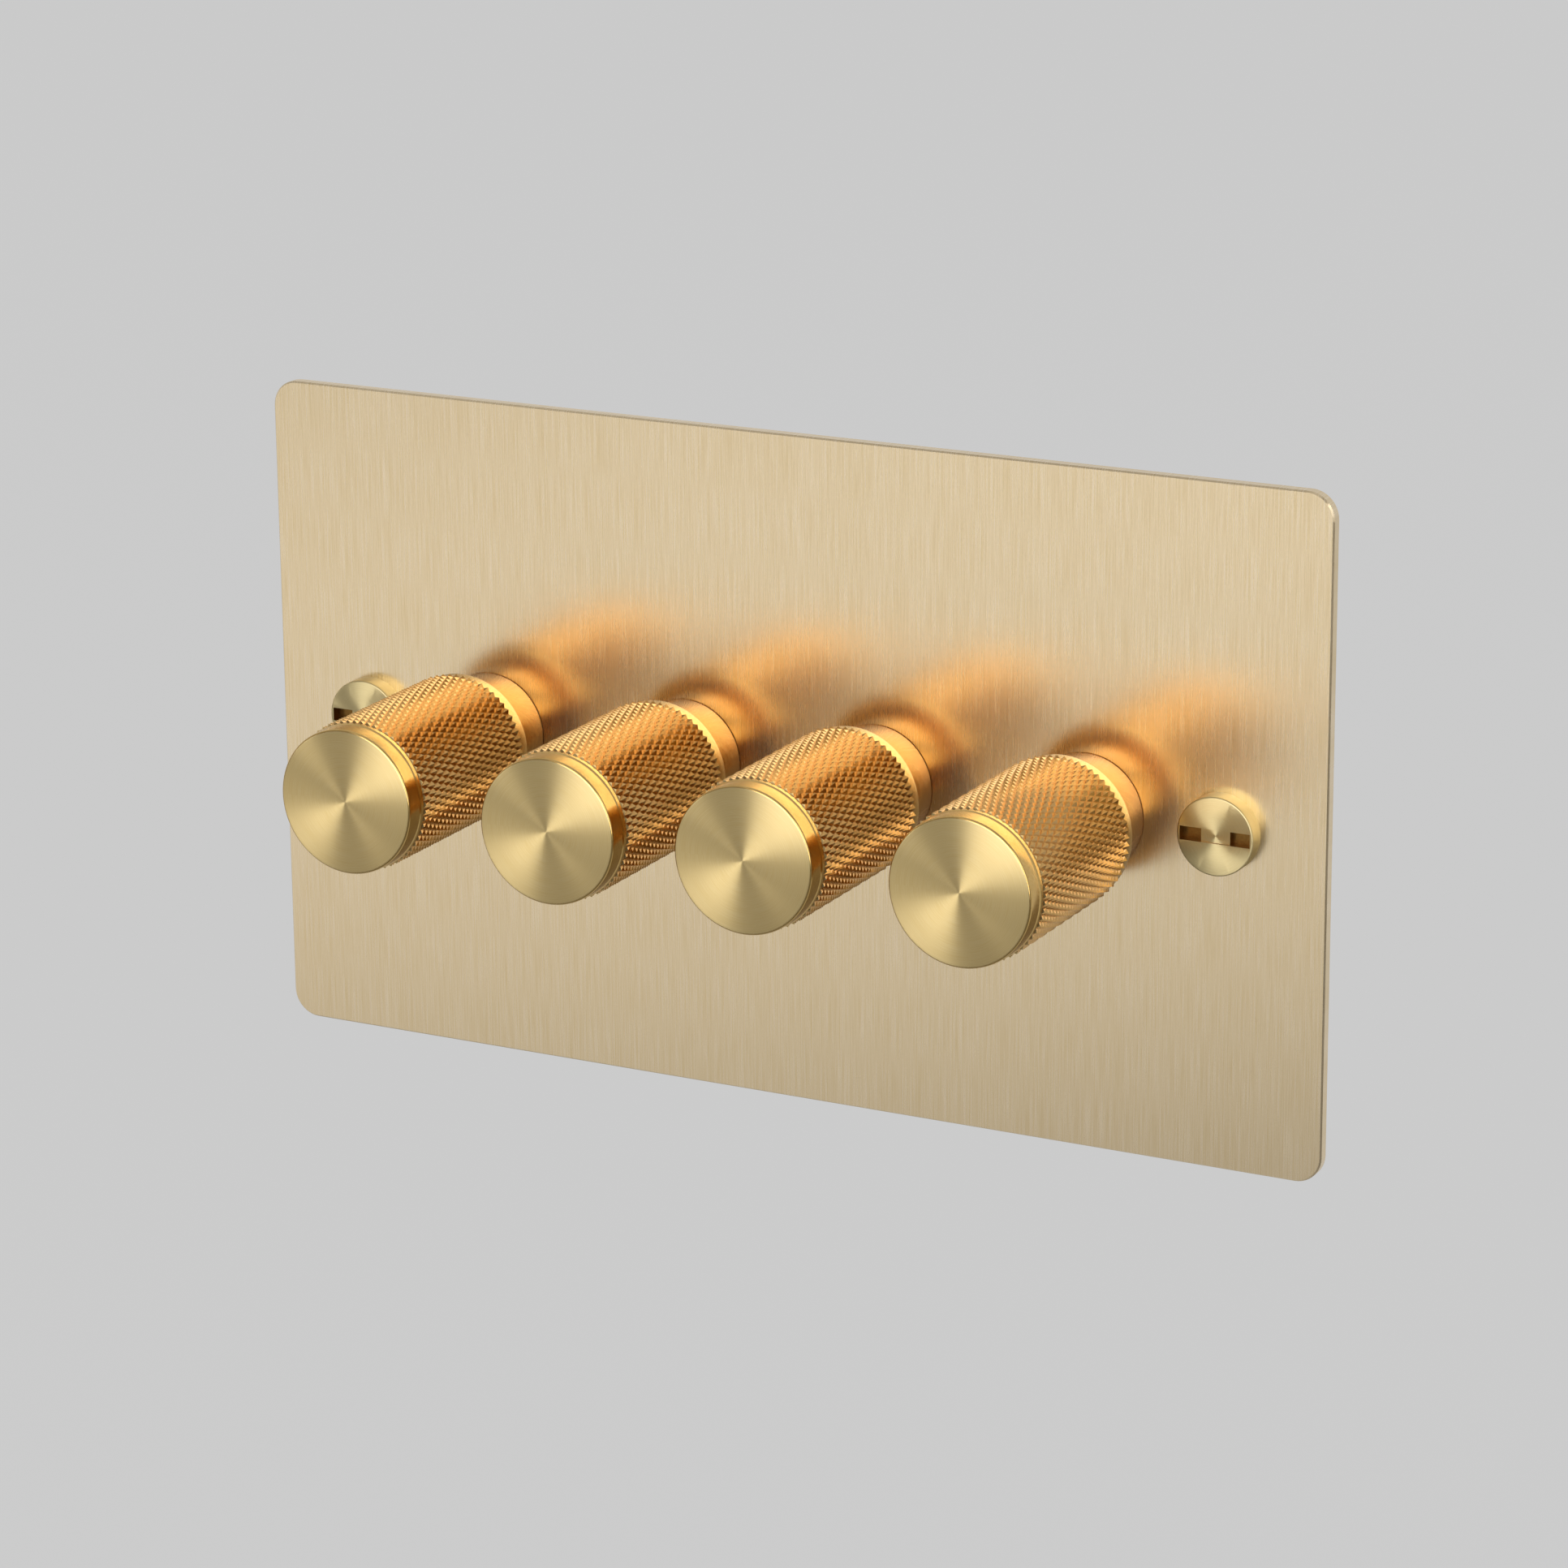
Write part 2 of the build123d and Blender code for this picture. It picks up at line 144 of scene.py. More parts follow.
# Turned brass: faced and skimmed on a lathe, so each highlight opens into a fan about the axis
def turnedBrass(name, look):
    mat, tree = newMaterial(name)
    turning = addNode(tree, "ShaderNodeUVMap", {"uv_map": "turning"})
    ringMap = addNode(
        tree, "ShaderNodeMapping", {"Scale": (look["streaksPerTurn"], 1 / look["ringMm"], 1)},
        {"Vector": turning.outputs["UV"]})
    rings = addNode(
        tree, "ShaderNodeTexNoise", {"Scale": 1.0, "Detail": 3.0, "Roughness": 0.6},
        {"Vector": ringMap.outputs["Vector"]})
    bump = addNode(
        tree, "ShaderNodeBump", {"Strength": 0.35, "Distance": look["ringDepth"]},
        {"Height": rings.outputs["Fac"]})
    tangent = addNode(tree, "ShaderNodeTangent", {"direction_type": "UV_MAP", "uv_map": "turning"})
    coat(tree, {"Metallic": 1.0, "Anisotropic": 0.92, "Anisotropic Rotation": look["lay"]}, {
        "Base Color": mixColours(tree, look["deep"], look["pale"], rings.outputs["Fac"]),
        "Roughness": sheenRange(tree, look["sheen"], rings.outputs["Fac"]),
        "Normal": bump.outputs["Normal"], "Tangent": tangent.outputs["Tangent"]})
    return mat


# Metal as rolled, pressed or left by a mill: a fine even grain that dulls the reflections a little
def millMetal(name, look):
    mat, tree = newMaterial(name)
    place = addNode(tree, "ShaderNodeTexCoord")
    grain = addNode(
        tree, "ShaderNodeTexNoise", {"Scale": 1 / look["grain"], "Detail": 3.0},
        {"Vector": place.outputs["Object"]})
    bump = addNode(
        tree, "ShaderNodeBump", {"Strength": 0.3, "Distance": look["relief"]},
        {"Height": grain.outputs["Fac"]})
    coat(tree, {"Metallic": 1.0}, {
        "Base Color": mixColours(tree, look["deep"], look["pale"], grain.outputs["Fac"]),
        "Roughness": sheenRange(tree, look["sheen"], grain.outputs["Fac"]),
        "Normal": bump.outputs["Normal"]})
    return mat


# Moulded plastic or foam: the eroded mould or the cells leave a fine dull grain
def mouldedPlastic(name, look):
    mat, tree = newMaterial(name)
    place = addNode(tree, "ShaderNodeTexCoord")
    grain = addNode(
        tree, "ShaderNodeTexVoronoi", {"Scale": 1 / look["grain"]}, {"Vector": place.outputs["Object"]})
    cloud = addNode(
        tree, "ShaderNodeTexNoise", {"Scale": 1 / look["cloud"], "Detail": 3.0},
        {"Vector": place.outputs["Object"]})
    bump = addNode(
        tree, "ShaderNodeBump", {"Strength": 0.5, "Distance": look["relief"]},
        {"Height": grain.outputs["Distance"]})
    coat(tree, {"IOR": look["ior"]}, {
        "Base Color": mixColours(tree, look["deep"], look["pale"], cloud.outputs["Fac"]),
        "Roughness": sheenRange(tree, look["sheen"], cloud.outputs["Fac"]),
        "Normal": bump.outputs["Normal"]})
    return mat


finishes = {
    "brushed_brass": brushedBrass(),
    "turned_brass": turnedBrass("turned_brass", {
        "pale": "#EDD9A4", "deep": "#DABB7A", "streaksPerTurn": 9, "ringMm": 0.16, "lay": 0.25,
        "sheen": (0.32, 0.42), "ringDepth": 0.004 * mm}),   # light fans across the knob fronts
    "screw_brass": turnedBrass("screw_brass", {
        "pale": "#E2D2A2", "deep": "#CEB984", "streaksPerTurn": 9, "ringMm": 0.14, "lay": 0.11,
        "sheen": (0.32, 0.42), "ringDepth": 0.004 * mm}),   # the facing tool swept these in a swirl
    "polished_brass": millMetal("polished_brass", {
        "pale": "#E6C584", "deep": "#D3AA5E", "grain": 0.3 * mm, "sheen": (0.12, 0.2),
        "relief": 0.002 * mm}),   # clear bright bands on the necks and lands
    "collar_brass_painted_shade": millMetal("collar_brass_painted_shade", {
        "pale": "#D3A055", "deep": "#BF8A42", "grain": 0.3 * mm, "sheen": (0.14, 0.24),
        "relief": 0.002 * mm}),   # a deeper gold than the knobs: painted shade and painted reflection for the collar under each knob
    "slot_brass_painted_shade": millMetal("slot_brass_painted_shade", {
        "pale": "#94703A", "deep": "#6B4C24", "grain": 0.2 * mm, "sheen": (0.25, 0.35),
        "relief": 0.004 * mm}),   # darker brass for the slot walls and pockets: painted shade in the recess
    "knurled_brass": millMetal("knurled_brass", {
        "pale": "#E0B97C", "deep": "#CA9C58", "grain": 0.12 * mm, "sheen": (0.16, 0.26),
        "relief": 0.004 * mm}),   # a small glint on each tooth
    "machined_brass": millMetal("machined_brass", {
        "pale": "#E2C27C", "deep": "#C9A45C", "grain": 0.2 * mm, "sheen": (0.25, 0.4),
        "relief": 0.006 * mm}),   # dull gold on the terminals and bushes
    "bright_steel": millMetal("bright_steel", {
        "pale": "#D5D6D8", "deep": "#B4B6BA", "grain": 0.3 * mm, "sheen": (0.22, 0.38),
        "relief": 0.005 * mm}),   # cool zinc grey
    "choke_copper": millMetal("choke_copper", {
        "pale": "#C87A4A", "deep": "#9C5228", "grain": 0.5 * mm, "sheen": (0.25, 0.4),
        "relief": 0.05 * mm}),   # red enamel over copper
    "case_plastic": mouldedPlastic("case_plastic", {
        "pale": "#2E2F32", "deep": "#25262A", "grain": 0.25 * mm, "cloud": 9 * mm,
        "sheen": (0.48, 0.6), "relief": 0.02 * mm, "ior": 1.53}),   # near black with a soft shine
    "cover_plastic": mouldedPlastic("cover_plastic", {
        "pale": "#3F4146", "deep": "#35373B", "grain": 0.25 * mm, "cloud": 9 * mm,
        "sheen": (0.46, 0.58), "relief": 0.02 * mm, "ior": 1.53}),   # a shade lighter than the case
    "control_plastic": mouldedPlastic("control_plastic", {
        "pale": "#55575C", "deep": "#484A4F", "grain": 0.2 * mm, "cloud": 6 * mm,
        "sheen": (0.4, 0.52), "relief": 0.015 * mm, "ior": 1.5}),   # smooth mid grey
    "board_laminate": mouldedPlastic("board_laminate", {
        "pale": "#1F6B3E", "deep": "#17542F", "grain": 0.8 * mm, "cloud": 3 * mm,
        "sheen": (0.3, 0.42), "relief": 0.03 * mm, "ior": 1.52}),   # green solder mask
    "gasket_foam": mouldedPlastic("gasket_foam", {
        "pale": "#2B2B2B", "deep": "#1D1D1D", "grain": 0.4 * mm, "cloud": 4 * mm,
        "sheen": (0.8, 0.92), "relief": 0.08 * mm, "ior": 1.45}),   # dead matt black
}
for part in frame["record"]["subparts"]:   # each solid takes the finish that its slot names
    slots = frame["nodes"][part["node"]].data.materials
    slots.clear()
    slots.append(finishes[part["material_slot"]])
print("finishes set:", ", ".join(finishes))


def addPiece(name, bm, materials):
    mesh = bpy.data.meshes.new(name)
    bm.to_mesh(mesh)
    bm.free()
    piece = bpy.data.objects.new(name, mesh)
    bpy.context.scene.collection.objects.link(piece)
    for mat in materials:
        mesh.materials.append(mat)
    return piece


def spinProfile(bm, profile, steps):   # profile points are (radius, y) about the Y axis
    verts = [bm.verts.new((r, y, 0)) for r, y in profile]
    edges = [bm.edges.new(pair) for pair in zip(verts, verts[1:])]
    bmesh.ops.spin(
        bm, geom=verts + edges, cent=(0, 0, 0), axis=(0, 1, 0), dvec=(0, 0, 0),
        angle=math.tau, steps=steps, use_merge=True)


def arcPoints(centreR, centreY, radius, start, end, count):   # degrees, from +r towards +y
    turns = [math.radians(start + (end - start) * i / count) for i in range(count + 1)]
    return [(centreR + radius * math.cos(t), centreY + radius * math.sin(t)) for t in turns]


def smoothUnder(bm, faces, limit):   # rounds shade smooth, and edges sharper than the limit stay crisp
    for face in faces:
        face.smooth = True
    for edge in bm.edges:
        edge.smooth = len(edge.link_faces) == 2 and edge.calc_face_angle() < limit


def turningMap(bm):   # u goes once round the axis and v is millimetres along the profile
    layer = bm.loops.layers.uv.new("turning")
    for face in bm.faces:
        centre = face.calc_center_median()
        middle = math.atan2(centre.z, centre.x)
        for loop in face.loops:
            co = loop.vert.co
            radius = math.hypot(co.x, co.z)
            turn = math.atan2(co.z, co.x) if radius > 1e-6 else middle
            turn = middle + (turn - middle + math.pi) % math.tau - math.pi
            loop[layer].uv = (turn / math.tau, (2 * radius + co.y) / mm)


# Knobs: a diamond knurl between a faced neck and a plain land, hollow behind for the round nut
knobSet = {
    "teeth": 62, "rows": 19, "toothDepth": 0.45 * mm,
    "neckR": 9.3 * mm, "neckLen": 2.9 * mm, "neckCove": 0.6 * mm, "faceRound": 0.35 * mm,
    "shoulderR": 9.42 * mm, "shoulderLen": 0.3 * mm, "grooveR": 8.65 * mm, "grooveLen": 0.25 * mm,
    "landR": 9.3 * mm, "landLen": 1.8 * mm, "edgeRound": 0.2 * mm,
    "nutRoomR": 7.9 * mm, "nutRoomLen": 2.3 * mm, "bushRoomR": 4.5 * mm, "bushRoomLen": 2.9 * mm,
    "boreR": 3.04 * mm, "boreLen": 21.4 * mm, "crisp": math.radians(25),
    "faceRings": (0.5, 0.03), "flatFront": -0.95, "endBand": 0.1 * mm,
}


def knobMesh(low, high):
    crestR = (high.x - low.x) / 2
    front, rear = low.y, high.y
    neckRear = front + knobSet["neckLen"]
    shoulderRear = neckRear + knobSet["shoulderLen"]
    knurlFront = shoulderRear + knobSet["grooveLen"]
    knurlRear = rear - knobSet["landLen"]
    columns = 2 * knobSet["teeth"]
    rows = knobSet["rows"]
    neckR, cove, faceRound = knobSet["neckR"], knobSet["neckCove"], knobSet["faceRound"]
    # the cove starts where its arc meets the shoulder
    coveStart = math.degrees(math.acos((knobSet["shoulderR"] - neckR) / cove - 1))
    edge = knobSet["edgeRound"]
    bm = bmesh.new()

    # knurl: a net whose even points are tooth crests and odd points are where two grooves cross
    bmesh.ops.create_grid(bm, x_segments=columns, y_segments=rows, size=0.5)
    roots = []
    for vert in bm.verts:
        column = round((vert.co.x + 0.5) * columns)
        row = round((vert.co.y + 0.5) * rows)
        radius = crestR
        if (column + row) % 2:
            radius -= knobSet["toothDepth"]
            roots.append(vert)
            if row == rows:
                radius = knobSet["landR"]
        turn = math.tau * column / columns
        along = knurlFront + (knurlRear - knurlFront) * row / rows
        vert.co = (radius * math.cos(turn), along, radius * math.sin(turn))
    bmesh.ops.connect_verts(bm, verts=roots)
    bmesh.ops.remove_doubles(bm, verts=bm.verts, dist=near)
    ends = [e for e in bm.edges if e.is_boundary]
    for y, radius in ((knurlFront, knobSet["grooveR"]), (knurlRear, knobSet["landR"])):
        ring = [e for e in ends if abs(e.verts[0].co.y - y) < knobSet["endBand"]]
        made = bmesh.ops.extrude_edge_only(bm, edges=ring)["geom"]
        for vert in [g for g in made if isinstance(g, bmesh.types.BMVert)]:
            scale = radius / math.hypot(vert.co.x, vert.co.z)
            vert.co = (vert.co.x * scale, y, vert.co.z * scale)
    for face in bm.faces:
        face.material_index = 1

    # neck and face in front, land and bores behind
    spinProfile(bm, [
        (knobSet["grooveR"], knurlFront), (knobSet["grooveR"], shoulderRear),
        (knobSet["shoulderR"], shoulderRear),
        *arcPoints(neckR + cove, neckRear - cove, cove, coveStart, 180, 4),
        *arcPoints(neckR - faceRound, front + faceRound, faceRound, 0, -90, 4),
        *[(share * neckR, front) for share in knobSet["faceRings"]], (0, front)], columns)
    spinProfile(bm, [
        (knobSet["landR"], knurlRear), *arcPoints(knobSet["landR"] - edge, rear - edge, edge, 0, 90, 3),
        (knobSet["nutRoomR"], rear), (knobSet["nutRoomR"], rear - knobSet["nutRoomLen"]),
        (knobSet["bushRoomR"], rear - knobSet["nutRoomLen"]),
        (knobSet["bushRoomR"], rear - knobSet["bushRoomLen"]),
        (knobSet["boreR"], rear - knobSet["bushRoomLen"]), (knobSet["boreR"], rear - knobSet["boreLen"]),
        (0, rear - knobSet["boreLen"])], columns)
    bmesh.ops.remove_doubles(bm, verts=bm.verts, dist=weld)
    bmesh.ops.dissolve_degenerate(bm, edges=bm.edges, dist=hair)
    bmesh.ops.recalc_face_normals(bm, faces=bm.faces)
    for face in bm.faces:   # flat fronts are faced, and the other turned surfaces are polished
        if face.normal.y < knobSet["flatFront"]:
            face.material_index = 0
        elif face.material_index == 0:
            face.material_index = 2
    smoothUnder(bm, [f for f in bm.faces if f.material_index != 1], knobSet["crisp"])
    turningMap(bm)
    return bm


for gang in gangs:
    node = f"knob_{gang}"
    low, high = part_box(node)
    bm = knobMesh(low, high)
    bmesh.ops.translate(bm, vec=((low.x + high.x) / 2, 0, (low.z + high.z) / 2), verts=bm.verts)
    knob = addPiece(f"knurled_knob_{gang}", bm, [
        finishes["turned_brass"], finishes["knurled_brass"], finishes["polished_brass"]])
    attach(knob, f"control_{gang}")
    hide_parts(node)
print("knobs made,", len(knob.data.polygons), "faces each")


# Round nuts: each clamps a module to the plate and shows as a collar behind its knob
nutSet = {
    "boreR": 4.05 * mm, "frontRound": 0.3 * mm, "rearRound": 0.1 * mm, "radius": 7.7 * mm, "steps": 96,
    "skirt": 0.18 * mm, "skirtWall": 0.3 * mm,   # the skirt hides the washer but for a hairline
    "crisp": math.radians(25),
}


def nutMesh(low, high):
    boreR, radius, front, rear = (nutSet[key] for key in ("boreR", "radius", "frontRound", "rearRound"))
    inside = radius - nutSet["skirtWall"]
    foot = high.y + nutSet["skirt"]
    bm = bmesh.new()
    spinProfile(bm, [
        (boreR, low.y), *arcPoints(radius - front, low.y + front, front, -90, 0, 4),
        *arcPoints(radius - rear, foot - rear, rear, 0, 90, 3), (inside, foot),
        (inside, high.y), (boreR, high.y), (boreR, low.y)], nutSet["steps"])
    bmesh.ops.remove_doubles(bm, verts=bm.verts, dist=weld)
    bmesh.ops.recalc_face_normals(bm, faces=bm.faces)
    smoothUnder(bm, list(bm.faces), nutSet["crisp"])
    turningMap(bm)
    return bm


low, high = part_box("lock_nuts")
for gang in gangs:
    knobLow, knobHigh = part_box(f"knob_{gang}")
    bm = nutMesh(low, high)
    bmesh.ops.translate(bm, vec=((knobLow.x + knobHigh.x) / 2, 0, (low.z + high.z) / 2), verts=bm.verts)
    # the collar's deeper gold is painted shade and painted reflection from its knob
    nut = addPiece(f"collar_nut_{gang}", bm, [finishes["collar_brass_painted_shade"]])
    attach(nut, "housing")
    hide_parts("lock_nuts")
print("collar nuts made,", len(nut.data.polygons), "faces each")


# Return springs: each stands on its circuit board
springSet = {
    "wireR": 0.25 * mm, "turns": 3, "turnSteps": 32, "wireSides": 10, "crisp": math.radians(50),
    "stroke": 0.82 * mm,   # the push of the knob and a hair of room at the plunger
}


def springMesh(low, high):
    wireR = springSet["wireR"]
    steps = springSet["turns"] * springSet["turnSteps"]
    rise = (high.y - low.y - 2 * wireR) / steps
    start = Matrix.Translation(((high.x - low.x) / 2 - wireR, low.y + wireR, 0))
    bm = bmesh.new()
    bmesh.ops.create_circle(bm, segments=springSet["wireSides"], radius=wireR, matrix=start)
    bmesh.ops.spin(
        bm, geom=list(bm.verts) + list(bm.edges), cent=(0, 0, 0), axis=(0, 1, 0), dvec=(0, rise, 0),
        angle=math.tau * springSet["turns"], steps=steps)
    bmesh.ops.holes_fill(bm, edges=[e for e in bm.edges if e.is_boundary])
    bmesh.ops.recalc_face_normals(bm, faces=bm.faces)
    smoothUnder(bm, list(bm.faces), springSet["crisp"])
    return bm


for gang in gangs:
    node = f"return_spring_{gang}"
    low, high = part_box(node)
    middle = (low + high) / 2
    bm = springMesh(low, high)
    bmesh.ops.translate(bm, vec=(middle.x, 0, middle.z), verts=bm.verts)
    spring = addPiece(f"coil_spring_{gang}", bm, [finishes["bright_steel"]])
    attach(spring, "housing")
    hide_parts(node)
    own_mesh(spring)
print("return springs made,", len(spring.data.polygons), "faces each")


# Fixing screws: faced cheese heads with a blind slot, and a rolled thread behind the wall face
screwSet = {
    "headR": 5.0 * mm, "headH": 2.4 * mm, "headRound": 0.2 * mm, "neckR": 1.45 * mm,
    "slotW": 1.75 * mm, "slotDepth": 1.3 * mm, "slotStep": 0.35 * mm, "slotRim": 0.4 * mm,
    "bridgeLen": 3.8 * mm, "underSlot": 0.5 * mm,
    "threadR": 1.75 * mm, "threadDepth": 0.36 * mm, "pitch": 0.6 * mm, "tip": 0.5 * mm,
    "ridgeShare": 0.45, "ridgeSink": 0.05 * mm,   # half a ridge in pitches, and its foot in the core
    "steps": 96, "threadSteps": 20, "crisp": math.radians(25), "faceRings": (0.05, 0.5),
}


def screwMesh(low, high):
    headR, headRound = screwSet["headR"], screwSet["headRound"]
    front = low.y
    seat = front + screwSet["headH"]
    tip = high.y
    core = screwSet["threadR"] - screwSet["threadDepth"]
    bm = bmesh.new()
    spinProfile(bm, [
        (0, front), *[(share * headR, front) for share in screwSet["faceRings"]],
        *arcPoints(headR - headRound, front + headRound, headRound, -90, 0, 4),
        (headR, seat), (screwSet["neckR"], seat), (screwSet["neckR"], 0), (core, 0),
        (core, tip - screwSet["tip"]), (core - screwSet["tip"], tip), (0, tip)], screwSet["steps"])
    bmesh.ops.remove_doubles(bm, verts=bm.verts, dist=weld)

    # slot: cuts mark it out on the head, its faces sink, and beside the bridge they sink deeper
    halfW = screwSet["slotW"] / 2
    halfLen = headR - screwSet["slotRim"]
    halfBridge = screwSet["bridgeLen"] / 2
    cuts = [((0, 0, z), (0, 0, 1)) for z in (-halfW, halfW)]
    cuts += [((x, 0, 0), (1, 0, 0)) for x in (-halfLen, -halfBridge, halfBridge, halfLen)]
    for place, normal in cuts:
        headGeom = [f for f in bm.faces if f.calc_center_median().y < front + near]
        headGeom += list({e for f in headGeom for e in f.edges} | {v for f in headGeom for v in f.verts})
        bmesh.ops.bisect_plane(bm, geom=headGeom, plane_co=place, plane_no=normal, dist=hair)
    slot = []
    for face in bm.faces:
        centre = face.calc_center_median()
        if centre.y < front + near and abs(centre.z) < halfW and abs(centre.x) < halfLen:
            slot.append(face)
    for depth in (screwSet["slotStep"], screwSet["slotDepth"] - screwSet["slotStep"]):
        sunk = bmesh.ops.extrude_face_region(bm, geom=slot)["geom"]
        bmesh.ops.delete(bm, geom=[f for f in slot if f.is_valid], context="FACES")
        bmesh.ops.translate(
            bm, vec=(0, depth, 0), verts=[g for g in sunk if isinstance(g, bmesh.types.BMVert)])
        slot = [g for g in sunk if isinstance(g, bmesh.types.BMFace)
                and abs(g.calc_center_median().x) > halfBridge]
    # the deep slot walls and pockets take the darker second finish: painted shade in the recess
    for face in bm.faces:
        centre = face.calc_center_median()
        deep = front + near < centre.y < seat - screwSet["underSlot"]
        inside = abs(centre.x) < halfLen + near and abs(centre.z) < halfW + near
        onBridge = abs(centre.y - front - screwSet["slotStep"]) < near
        if deep and inside and not onBridge:
            face.material_index = 1

    # thread: one ridge wound along the core
    turns = (tip - screwSet["tip"] - screwSet["pitch"]) / screwSet["pitch"]
    half = screwSet["pitch"] * screwSet["ridgeShare"]
    sunkR = core - screwSet["ridgeSink"]
    ridge = [bm.verts.new(co) for co in (
        (sunkR, 0, 0), (screwSet["threadR"], half, 0), (sunkR, 2 * half, 0))]
    face = bm.faces.new(ridge)
    steps = round(turns * screwSet["threadSteps"])
    bmesh.ops.spin(
        bm, geom=ridge + list(face.edges) + [face], cent=(0, 0, 0), axis=(0, 1, 0),
        dvec=(0, screwSet["pitch"] / screwSet["threadSteps"], 0), angle=math.tau * turns, steps=steps)
    bmesh.ops.recalc_face_normals(bm, faces=bm.faces)
    smoothUnder(bm, list(bm.faces), screwSet["crisp"])
    turningMap(bm)
    return bm


low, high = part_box("fixing_screws")
centres = (high.x - low.x) / 2 - screwSet["headR"]
for side, x in (("left", -centres), ("right", centres)):
    bm = screwMesh(low, high)
    bmesh.ops.translate(bm, vec=(x, 0, 0), verts=bm.verts)
    # the second finish paints shade into the slot
    screw = addPiece(f"fixing_screw_{side}", bm, [finishes["screw_brass"], finishes["slot_brass_painted_shade"]])
    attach(screw, "housing")
    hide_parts("fixing_screws")
print("fixing screws made,", len(screw.data.polygons), "faces each")


# Stage: a pale floor well below, a room that is dimmer in front than behind, and large soft lamps
stageSet = {
    "grey": "#CFCFCF", "dim": "#949290", "skyTurn": 0.4,   # the room's two greys meet over this much of y
    "paper": ("#CCCCCC", "#D2D2D2"), "fibre": 2 * mm,
    "floorDrop": 0.3, "floorSize": 8.0, "floorShade": 0.1, "lampAim": (0, -15 * mm, 0),
    # in front of the plate the paper's glow carries a painted shade, but for a painted pool of light to
    # the left of the lens
    "pool": "#EAE8E4", "poolAt": (-0.72, -1.24, -0.3), "poolEdge": (0.4, 1.15), "shade": "#6A6864",
    "shadeFrom": 0.3, "shadeTo": -0.2,
}


def paleFloor():   # matt grey paper, whose glow to the lens carries a painted shade and a painted pool of light in front, and which keeps its shadow
    mat, tree = newMaterial("grey_paper_painted_shade")
    place = addNode(tree, "ShaderNodeTexCoord")
    fibre = addNode(
        tree, "ShaderNodeTexNoise", {"Scale": 1 / stageSet["fibre"]}, {"Vector": place.outputs["Object"]})
    colour = mixColours(tree, *stageSet["paper"], fibre.outputs["Fac"])
    paper = addNode(tree, "ShaderNodeBsdfDiffuse", {}, {"Color": colour})
    along = addNode(tree, "ShaderNodeSeparateXYZ", {}, {"Vector": place.outputs["Object"]})
    # painted pool of light: a disc of paler colour on the paper to the left of the lens
    reach = addNode(
        tree, "ShaderNodeVectorMath", {"operation": "DISTANCE", 1: stageSet["poolAt"]},
        {0: place.outputs["Object"]})
    pool = smoothRange(tree, *stageSet["poolEdge"], reach.outputs["Value"])
    # painted light and shade in front: the pool colour inside the pool, the shade colour around it
    front = mixColours(tree, stageSet["pool"], stageSet["shade"], pool)
    # the painted shade fades into the even grey behind the plate
    fall = smoothRange(tree, stageSet["shadeTo"], stageSet["shadeFrom"], along.outputs["Y"])
    grey = addNode(
        tree, "ShaderNodeMix", {"data_type": "RGBA", 7: linear(stageSet["grey"])}, {0: fall, 6: front})
    # the glow that the lens and reflections see, painted shade and painted pool included
    even = addNode(tree, "ShaderNodeEmission", {}, {"Color": grey.outputs[2]})
    seen = addNode(
        tree, "ShaderNodeMixShader", {"Fac": stageSet["floorShade"]},
        {1: even.outputs["Emission"], 2: paper.outputs["BSDF"]})
    rays = addNode(tree, "ShaderNodeLightPath")
    direct = addNode(
        tree, "ShaderNodeMath", {"operation": "MAXIMUM"},
        {0: rays.outputs["Is Camera Ray"], 1: rays.outputs["Is Glossy Ray"]})
    direct = addNode(
        tree, "ShaderNodeMath", {"operation": "MAXIMUM"},
        {0: direct.outputs["Value"], 1: rays.outputs["Is Transmission Ray"]})
    surface = addNode(
        tree, "ShaderNodeMixShader", {},
        {"Fac": direct.outputs["Value"], 1: paper.outputs["BSDF"], 2: seen.outputs["Shader"]})
    addNode(tree, "ShaderNodeOutputMaterial", {}, {"Surface": surface.outputs["Shader"]})
    return mat


bm = bmesh.new()
bmesh.ops.create_grid(bm, x_segments=1, y_segments=1, size=stageSet["floorSize"] / 2)
bmesh.ops.translate(bm, vec=(0, 0, -stageSet["floorDrop"]), verts=bm.verts)
addPiece("floor", bm, [paleFloor()])

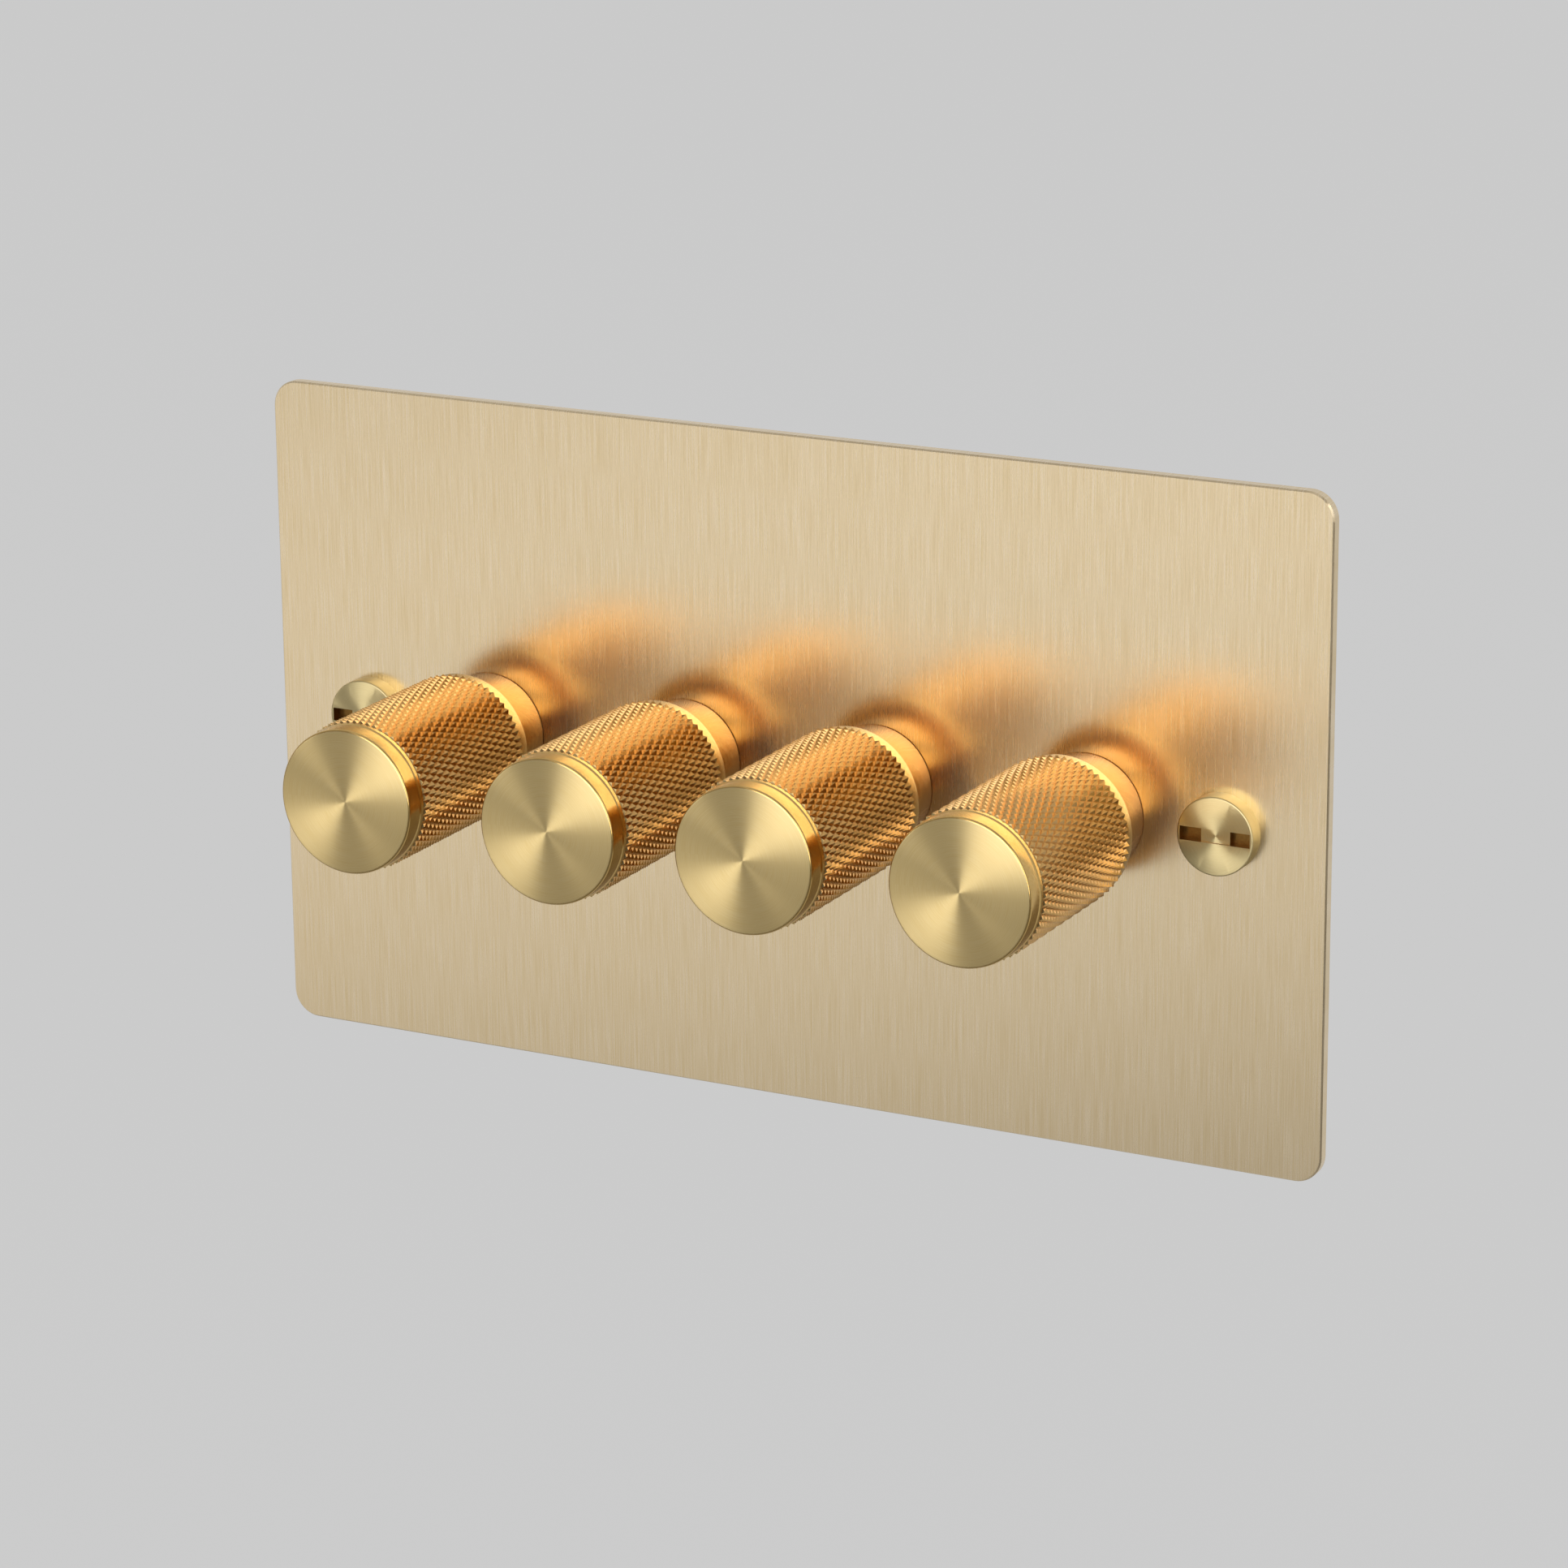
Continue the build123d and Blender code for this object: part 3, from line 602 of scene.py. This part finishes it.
world = bpy.data.worlds.new("studio")
bpy.context.scene.world = world
world.use_nodes = True
sky = world.node_tree
ray = addNode(sky, "ShaderNodeTexCoord")
along = addNode(sky, "ShaderNodeSeparateXYZ", {}, {"Vector": ray.outputs["Generated"]})
fall = smoothRange(sky, -stageSet["skyTurn"], stageSet["skyTurn"], along.outputs["Y"])
grey = mixColours(sky, stageSet["dim"], stageSet["grey"], fall)
sky.links.new(grey, sky.nodes["Background"].inputs["Color"])

softboxes = {   # turn and rise are degrees from straight ahead of the plate, sizes are metres
    "front": {"turn": 3, "rise": 18.5, "reach": 1.6, "wide": 1.23, "tall": 1.53, "watts": 15.9},
    "left": {"turn": -54, "rise": 4, "reach": 1.4, "wide": 0.22, "tall": 0.35, "watts": 0.8},
    "side": {"turn": 48, "rise": 14, "reach": 1.4, "wide": 0.7, "tall": 1.2, "watts": 5.3},
    "top": {"turn": -10, "rise": 60, "reach": 1.3, "wide": 0.9, "tall": 0.5, "watts": 0.75},
}
aim = Vector(stageSet["lampAim"])
for name, box in softboxes.items():
    turn, rise = math.radians(box["turn"]), math.radians(box["rise"])
    away = Vector((math.sin(turn) * math.cos(rise), -math.cos(turn) * math.cos(rise), math.sin(rise)))
    lamp = bpy.data.lights.new(f"softbox_{name}", "AREA")
    lamp.shape = "RECTANGLE"
    lamp.size, lamp.size_y, lamp.energy = box["wide"], box["tall"], box["watts"]
    light = bpy.data.objects.new(lamp.name, lamp)
    bpy.context.scene.collection.objects.link(light)
    facing = away.to_track_quat("Z", "Y").to_matrix().to_4x4()
    light.matrix_world = Matrix.Translation(aim + away * box["reach"]) @ facing

cameraSet = {
    "place": (305.2 * mm, -584.9 * mm, 194.4 * mm), "turn": 27.606, "tilt": 16.604, "roll": -0.5,
    "lens": 124.85, "sensor": 36,
}
lens = bpy.data.cameras.new("camera")
lens.lens, lens.sensor_width = cameraSet["lens"], cameraSet["sensor"]
camera = bpy.data.objects.new("camera", lens)
bpy.context.scene.collection.objects.link(camera)
camera.matrix_world = (
    Matrix.Translation(cameraSet["place"])
    @ Matrix.Rotation(math.radians(cameraSet["turn"]), 4, "Z")
    @ Matrix.Rotation(math.radians(90 - cameraSet["tilt"]), 4, "X")
    @ Matrix.Rotation(math.radians(cameraSet["roll"]), 4, "Z"))
bpy.context.scene.camera = camera
bpy.context.scene.view_settings.view_transform = "Standard"
print("stage, lamps and camera set")
